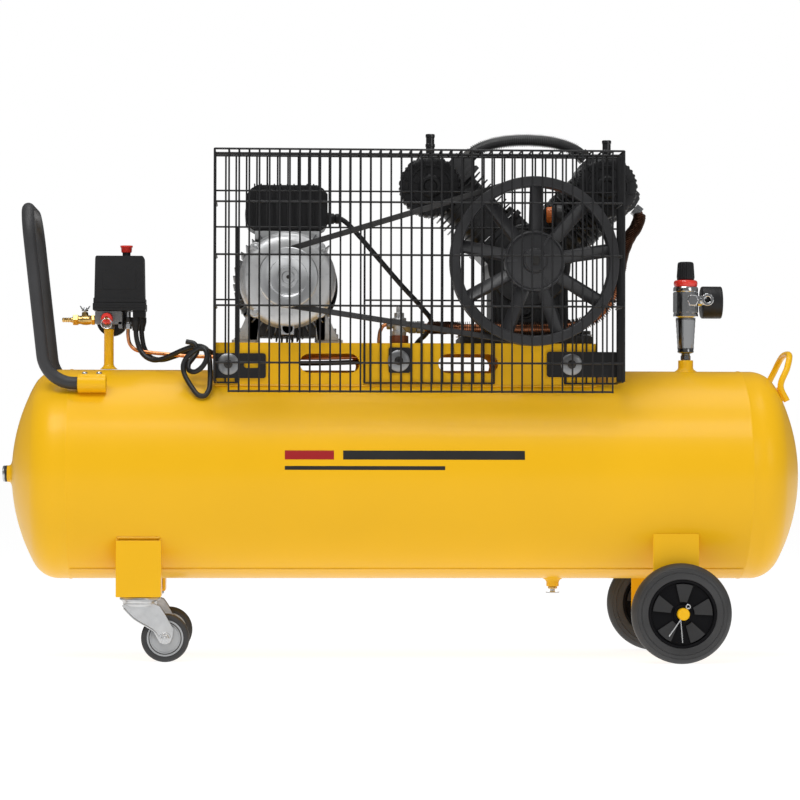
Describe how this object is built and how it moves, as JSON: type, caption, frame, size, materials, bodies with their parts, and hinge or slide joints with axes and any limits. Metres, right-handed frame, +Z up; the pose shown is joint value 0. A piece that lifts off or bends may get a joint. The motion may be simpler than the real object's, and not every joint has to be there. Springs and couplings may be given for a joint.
{
  "type": "belt driven air compressor",
  "caption": "Belt-driven piston air compressor: V cylinders and motor behind a wire guard on a horizontal yellow tank with wheels, casters and tow handle.",
  "frame": {"origin": "on the floor, under the centre of the bounding box", "axes": "+X along the tank, from the pressure switch and tow handle to the lifting loop; +Y from the belt guard to the motor's fan; +Z up"},
  "size_m": [1.27, 0.384, 0.839],
  "materials": {
    "yellow_paint": "semi-gloss powder coat",
    "black_metal": "satin black paint",
    "black_plastic": "moulded satin",
    "rubber": "matte",
    "aluminium": "cast and machined",
    "chrome": "polished plate",
    "zinc_steel": "zinc plate",
    "brass": "machined",
    "copper": "drawn copper tube",
    "red_plastic": "gloss",
    "orange_plastic": "satin"
  },
  "bodies": {
    "frame": {"tank_shell": "yellow_paint", "platform": "yellow_paint", "caster_leg_front": "yellow_paint", "caster_leg_rear": "yellow_paint", "axle_bracket_front": "yellow_paint", "axle_bracket_rear": "yellow_paint", "axle": "yellow_paint", "lifting_loop": "yellow_paint", "riser_pipe": "yellow_paint", "motor_fan_cover": "black_metal", "crankcase": "black_metal", "cylinder_left": "black_metal", "cylinder_right": "black_metal", "head_left": "black_metal", "head_right": "black_metal", "crossover_tube": "black_metal", "guard_front": "black_metal", "guard_top": "black_metal", "guard_left": "black_metal", "guard_right": "black_metal", "guard_rear": "black_metal", "switch_base": "black_plastic", "switch_cover": "black_plastic", "gauge_case": "black_plastic", "capacitor_box": "black_plastic", "filter_left": "black_plastic", "filter_right": "black_plastic", "handle_bar": "rubber", "drive_belt": "rubber", "motor_cable": "rubber", "power_cord": "rubber", "switch_manifold": "aluminium", "motor_housing": "aluminium", "motor_end_bell": "aluminium", "regulator_body": "chrome", "tank_plug": "zinc_steel", "outlet_valve": "brass", "check_valve": "brass", "discharge_tube": "copper", "unloader_tube": "copper", "safety_valve": "red_plastic", "oil_plug": "orange_plastic"},
    "flywheel": {"flywheel": "black_metal", "crankshaft": "zinc_steel"},
    "motor_drive": {"motor_rotor": "zinc_steel", "motor_pulley": "aluminium"},
    "piston_left": {"piston_left": "aluminium"},
    "piston_right": {"piston_right": "aluminium"},
    "switch_button": {"switch_button": "red_plastic"},
    "safety_pull_ring": {"safety_pull_ring": "chrome"},
    "outlet_lever": {"outlet_lever": "chrome"},
    "regulator_knob": {"regulator_knob": "black_plastic"},
    "gauge_needle": {"gauge_needle": "red_plastic"},
    "drain_screw": {"drain_screw": "zinc_steel"},
    "caster_front": {"caster_fork_front": "zinc_steel"},
    "caster_rear": {"caster_fork_rear": "zinc_steel"},
    "caster_wheel_front": {"caster_wheel_front": "rubber"},
    "caster_wheel_rear": {"caster_wheel_rear": "rubber"},
    "wheel_front": {"wheel_front": "rubber"},
    "wheel_rear": {"wheel_rear": "rubber"}
  },
  "joints": [
    {"name": "flywheel_spin", "type": "hinge", "parent": "frame", "child": "flywheel", "pos_m": [0.2, -0.14, 0.6255], "axis": [0, 1, 0], "continuous": true},
    {"name": "motor_spin", "type": "hinge", "parent": "frame", "child": "motor_drive", "pos_m": [-0.1835, -0.14, 0.598], "axis": [0, 1, 0], "continuous": true},
    {"name": "piston_left_slide", "type": "slide", "parent": "frame", "child": "piston_left", "axis": [-0.7071, 0, 0.7071], "range_m": [-0.018, 0.018]},
    {"name": "piston_right_slide", "type": "slide", "parent": "frame", "child": "piston_right", "axis": [0.7071, 0, 0.7071], "range_m": [-0.018, 0.018]},
    {"name": "switch_button_slide", "type": "slide", "parent": "frame", "child": "switch_button", "axis": [0, 0, 1], "range_m": [-0.005, 0]},
    {"name": "safety_ring_pull", "type": "slide", "parent": "frame", "child": "safety_pull_ring", "axis": [0, -1, 0], "range_m": [0, 0.004], "stiffness_N_per_m": 200},
    {"name": "outlet_lever_turn", "type": "hinge", "parent": "frame", "child": "outlet_lever", "pos_m": [-0.5055, -0.002, 0.553], "axis": [0, 0, 1], "range_deg": [0, 90]},
    {"name": "regulator_knob_turn", "type": "hinge", "parent": "frame", "child": "regulator_knob", "pos_m": [0.4575, 0, 0.62], "axis": [0, 0, 1], "range_deg": [-360, 360]},
    {"name": "gauge_needle_turn", "type": "hinge", "parent": "frame", "child": "gauge_needle", "pos_m": [0.511, 0.014, 0.57], "axis": [-1, 0, 0], "range_deg": [0, 270]},
    {"name": "drain_screw_turn", "type": "hinge", "parent": "frame", "child": "drain_screw", "pos_m": [0.243, 0, 0.104], "axis": [0, 0, 1], "range_deg": [0, 360]},
    {"name": "caster_front_swivel", "type": "hinge", "parent": "frame", "child": "caster_front", "pos_m": [-0.413, -0.105, 0.09], "axis": [0, 0, 1], "continuous": true},
    {"name": "caster_rear_swivel", "type": "hinge", "parent": "frame", "child": "caster_rear", "pos_m": [-0.413, 0.105, 0.09], "axis": [0, 0, 1], "continuous": true},
    {"name": "caster_front_roll", "type": "hinge", "parent": "caster_front", "child": "caster_wheel_front", "pos_m": [-0.373, -0.105, 0.0375], "axis": [0, 1, 0], "continuous": true},
    {"name": "caster_rear_roll", "type": "hinge", "parent": "caster_rear", "child": "caster_wheel_rear", "pos_m": [-0.373, 0.105, 0.0375], "axis": [0, 1, 0], "continuous": true},
    {"name": "wheel_front_roll", "type": "hinge", "parent": "frame", "child": "wheel_front", "pos_m": [0.428, -0.163, 0.078], "axis": [0, 1, 0], "continuous": true},
    {"name": "wheel_rear_roll", "type": "hinge", "parent": "frame", "child": "wheel_rear", "pos_m": [0.428, 0.163, 0.078], "axis": [0, 1, 0], "continuous": true}
  ],
  "couplings": [
    {"joint": "motor_spin", "follows": "flywheel_spin", "ratio": 3.036}
  ]
}
